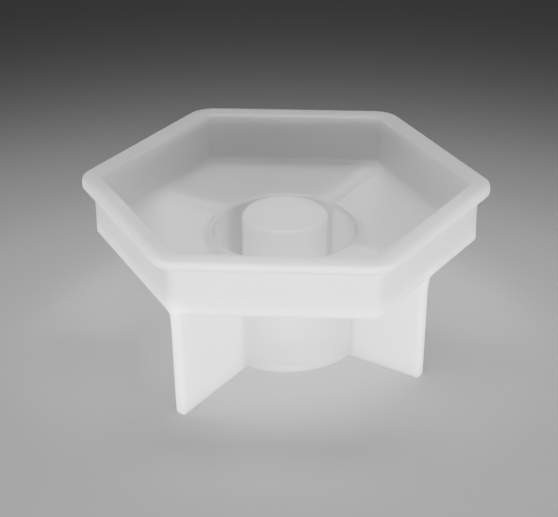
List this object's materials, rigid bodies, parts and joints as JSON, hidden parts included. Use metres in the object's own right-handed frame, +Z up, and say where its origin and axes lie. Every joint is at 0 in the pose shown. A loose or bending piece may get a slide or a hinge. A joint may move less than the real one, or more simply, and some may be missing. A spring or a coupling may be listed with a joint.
{
  "type": "resin casting mould",
  "caption": "Hexagonal open tray mould in translucent silicone, with a projecting rim, a round centre well with a core post, and a cross of support ribs under it.",
  "frame": {"origin": "on the table under the centre of the core post, at the middle of the base of the part's box", "axes": "+Z up out of the tray, the front towards -Y, and two opposite corners of the hexagon on the X axis"},
  "size_m": [0.1028, 0.091, 0.0445],
  "materials": {
    "silicone": "milky translucent silicone, satin outside and glossy inside"
  },
  "bodies": {
    "root": {"rim_flange": "silicone", "wall_front": "silicone", "wall_front_right": "silicone", "wall_back_right": "silicone", "wall_back": "silicone", "wall_back_left": "silicone", "wall_front_left": "silicone", "tray_floor": "silicone", "well_wall": "silicone", "well_base": "silicone", "core_post": "silicone", "rib_front_left": "silicone", "rib_front_right": "silicone", "rib_back_right": "silicone", "rib_back_left": "silicone"}
  },
  "joints": []
}
